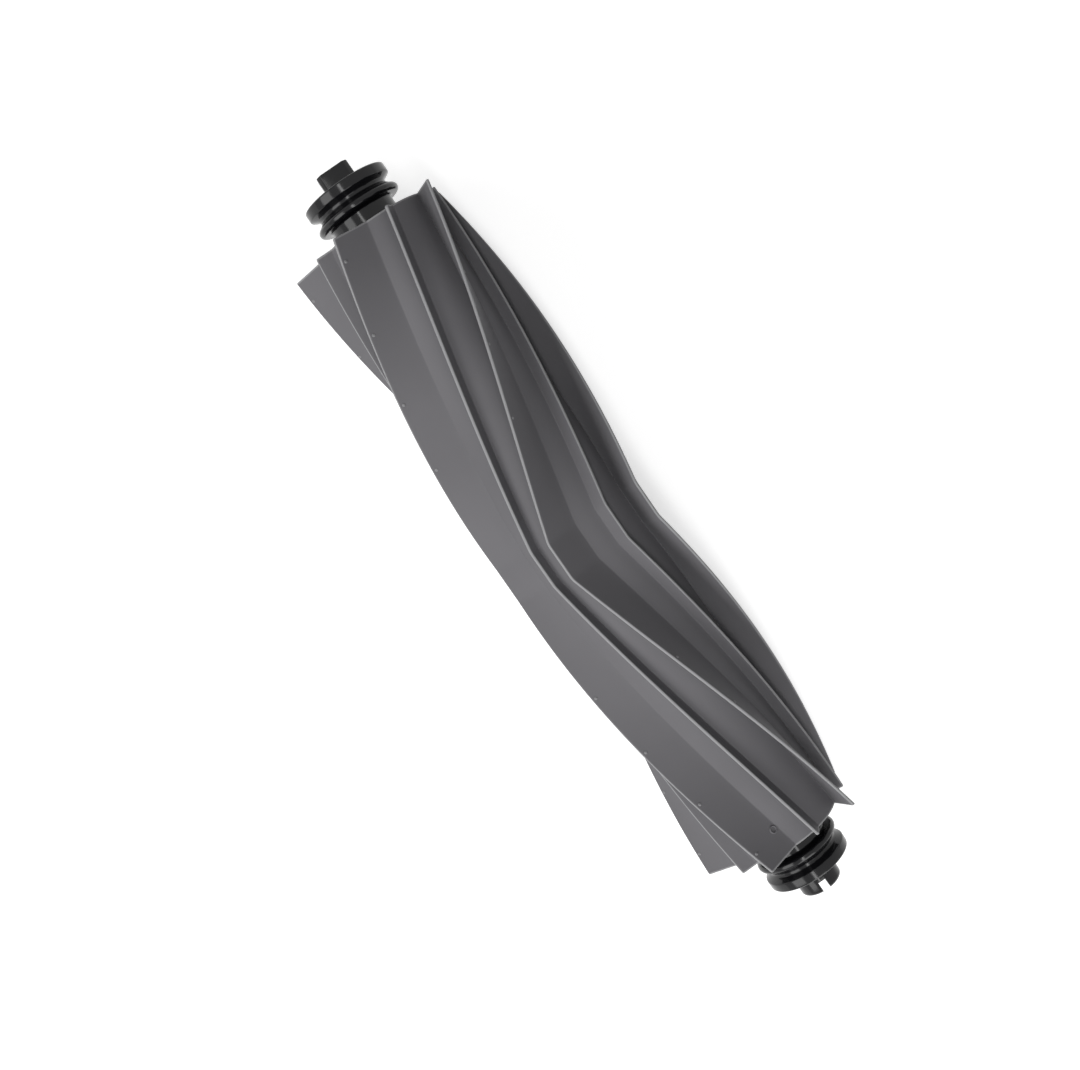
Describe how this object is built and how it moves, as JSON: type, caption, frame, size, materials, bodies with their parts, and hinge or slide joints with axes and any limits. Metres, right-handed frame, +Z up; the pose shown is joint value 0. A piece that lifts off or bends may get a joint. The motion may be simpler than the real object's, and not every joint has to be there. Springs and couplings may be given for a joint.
{
  "type": "robot vacuum roller brush",
  "caption": "Rubber-finned sweeping roller with a square drive boss at one end and a slotted bearing cap at the other.",
  "frame": {"origin": "centre of the part's bounding box, on the roller's axis, 0.55 mm to the right of the rubber's middle", "axes": "+X along the roller's axis towards the bearing cap, +Z up as the roller lies on the tips of its tall fins, -Y towards the front"},
  "size_m": [0.1908, 0.04, 0.04],
  "materials": {
    "rubber": "moulded, satin",
    "core": "moulded",
    "black_gloss": "polished mould",
    "bearing_steel": "ground",
    "ball_steel": "polished",
    "cage_steel": "pressed",
    "felt": "felt"
  },
  "bodies": {
    "roller": {"rubber_sleeve": "rubber", "core_tube": "core", "drive_spool": "black_gloss", "bearing_spool": "black_gloss", "bearing_outer_ring": "bearing_steel", "inner_shield": "bearing_steel", "outer_shield": "bearing_steel", "felt_washer": "felt"},
    "cap": {"bearing_cap": "black_gloss", "axle_pin": "bearing_steel", "bearing_inner_ring": "bearing_steel", "pin_spacer": "bearing_steel", "retaining_clip": "bearing_steel"},
    "ball_set": {"bearing_balls": "ball_steel", "bearing_cage": "cage_steel"}
  },
  "joints": [
    {"name": "cap_spin", "type": "hinge", "parent": "roller", "child": "cap", "pos_m": [0.08705, 0, 0], "axis": [1, 0, 0], "continuous": true},
    {"name": "ball_spin", "type": "hinge", "parent": "roller", "child": "ball_set", "pos_m": [0.08705, 0, 0], "axis": [1, 0, 0], "continuous": true}
  ],
  "couplings": [
    {"joint": "ball_spin", "follows": "cap_spin", "ratio": 0.3556}
  ]
}
